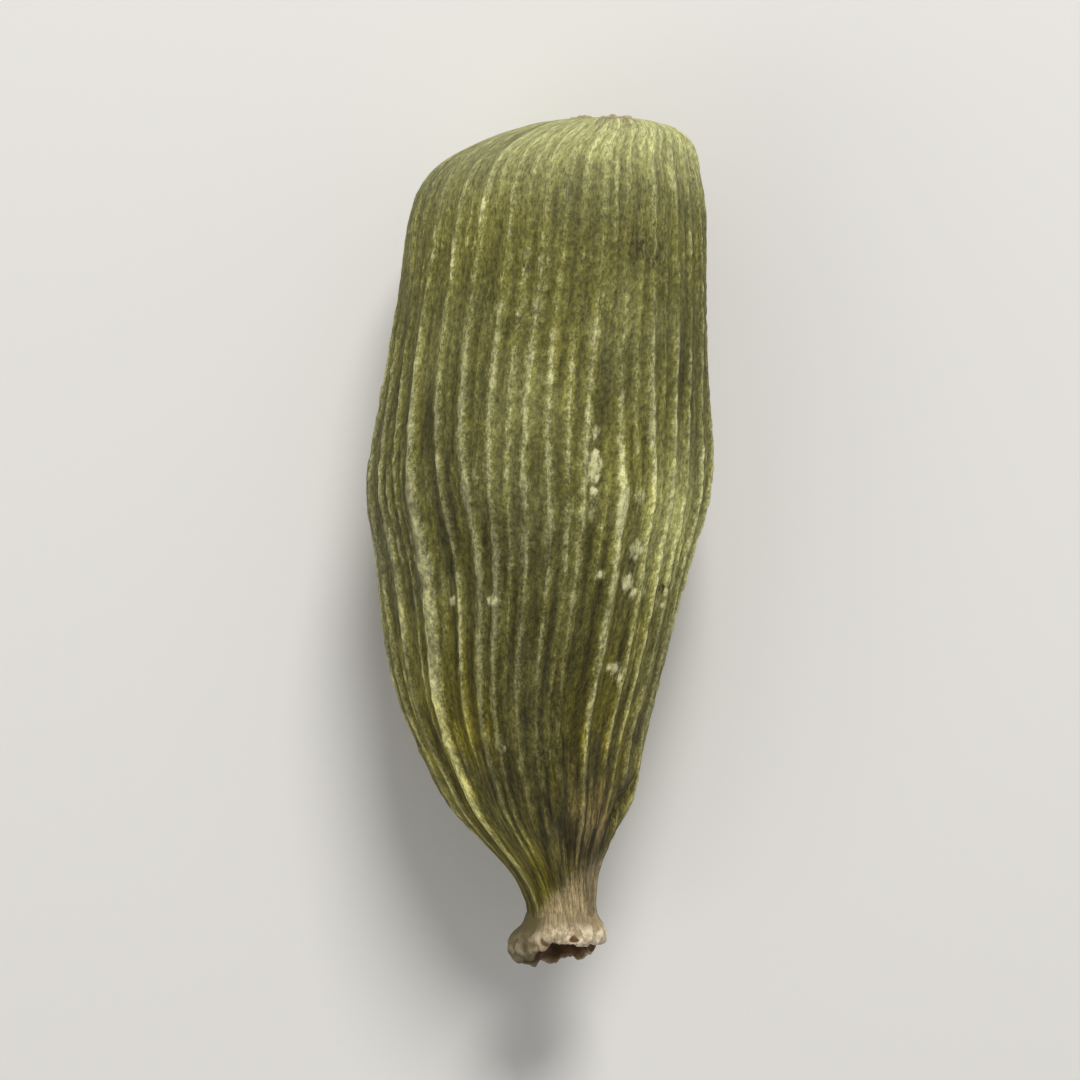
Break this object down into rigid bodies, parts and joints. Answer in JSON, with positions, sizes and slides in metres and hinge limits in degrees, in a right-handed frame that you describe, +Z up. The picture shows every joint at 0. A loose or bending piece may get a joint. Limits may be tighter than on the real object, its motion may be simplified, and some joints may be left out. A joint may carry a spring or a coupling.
{
  "type": "green cardamom pod",
  "caption": "Dried green cardamom pod: a plump ribbed husk with a blunt stalk end and a narrow beak that carries the dried flower cup, lying on its side.",
  "frame": {"origin": "under the middle of the pod's bounding box, on the surface that the pod lies on", "axes": "+Y along the pod towards its blunt stalk end, with the beak at -Y; +Z up from the surface; +X across the pod"},
  "size_m": [0.0076, 0.0188, 0.0069],
  "materials": {
    "dried_husk": "matt, fibrous dried plant skin"
  },
  "bodies": {
    "root": {"cardamom_pod": "dried_husk"}
  },
  "joints": []
}
